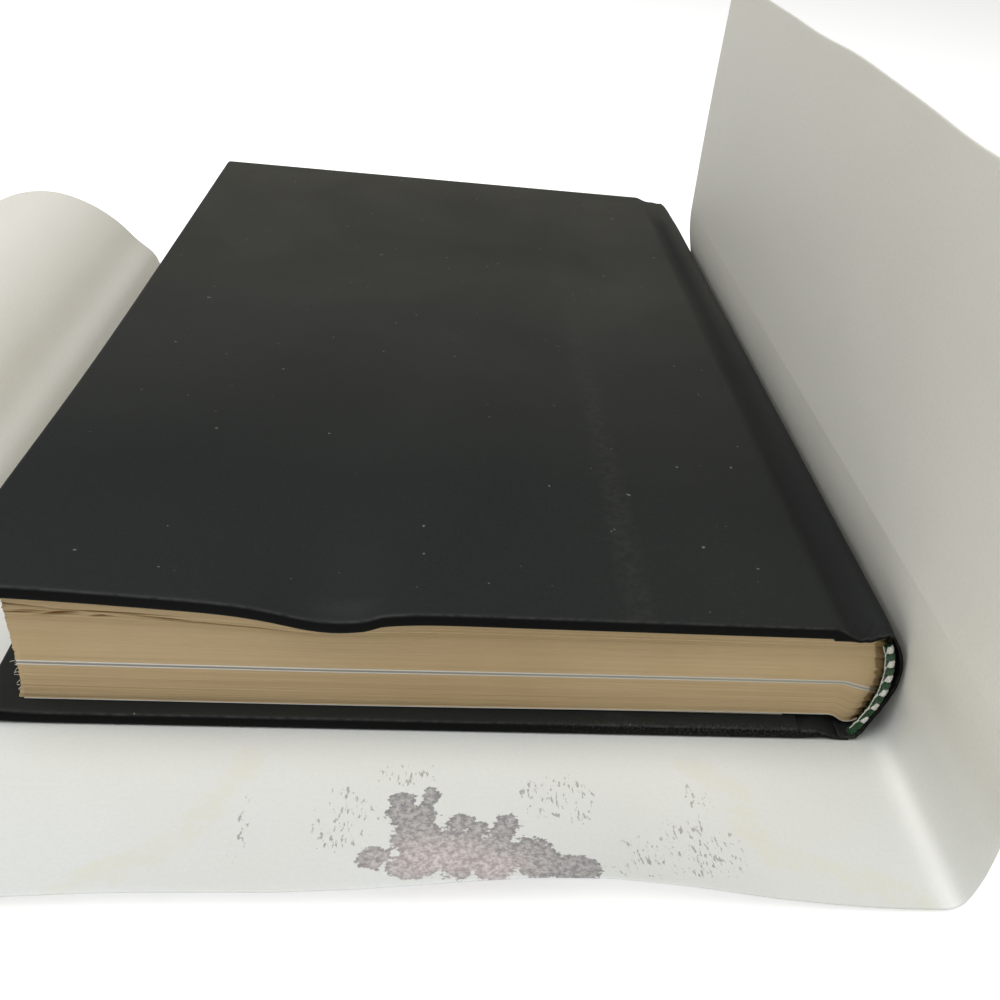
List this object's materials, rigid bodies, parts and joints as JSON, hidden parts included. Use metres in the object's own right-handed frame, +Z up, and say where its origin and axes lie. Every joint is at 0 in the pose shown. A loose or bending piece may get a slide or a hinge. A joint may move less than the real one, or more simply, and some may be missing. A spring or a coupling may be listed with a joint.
{
  "type": "hardcover book",
  "caption": "Closed hardcover book with a rounded spine, lying on its own opened-out white dust jacket; both covers hinge.",
  "frame": {"origin": "on the floor, under the centre of the book's footprint, at the underside of the dust jacket", "axes": "+X from the fore edge to the spine, +Y from the near end with the head band to the far end, +Z up"},
  "size_m": [0.4098, 0.276, 0.105],
  "materials": {
    "board": "matte",
    "dark_covering": "satin",
    "endpaper": "matte",
    "pages": "matte",
    "band_thread": "matte",
    "lining": "matte",
    "jacket_paper": "satin"
  },
  "bodies": {
    "back_cover": {"back_board": "board", "back_covering": "dark_covering", "back_pastedown": "endpaper", "dust_jacket": "jacket_paper"},
    "book_block": {"text_block": "pages", "front_flyleaf": "endpaper", "back_flyleaf": "endpaper", "head_band": "band_thread", "tail_band": "band_thread", "spine_lining": "lining", "spine_inlay": "board", "spine_covering": "dark_covering"},
    "front_cover": {"front_board": "board", "front_covering": "dark_covering", "front_pastedown": "endpaper"}
  },
  "joints": [
    {"name": "back_cover_hinge", "type": "hinge", "parent": "back_cover", "child": "book_block", "pos_m": [0.0776, 0, 0.0062], "axis": [0, 1, 0], "range_deg": [0, 90], "deforming": ["dust_jacket"]},
    {"name": "front_cover_hinge", "type": "hinge", "parent": "book_block", "child": "front_cover", "pos_m": [0.0723, 0, 0.0269], "axis": [0, 1, 0], "range_deg": [0, 90]}
  ]
}
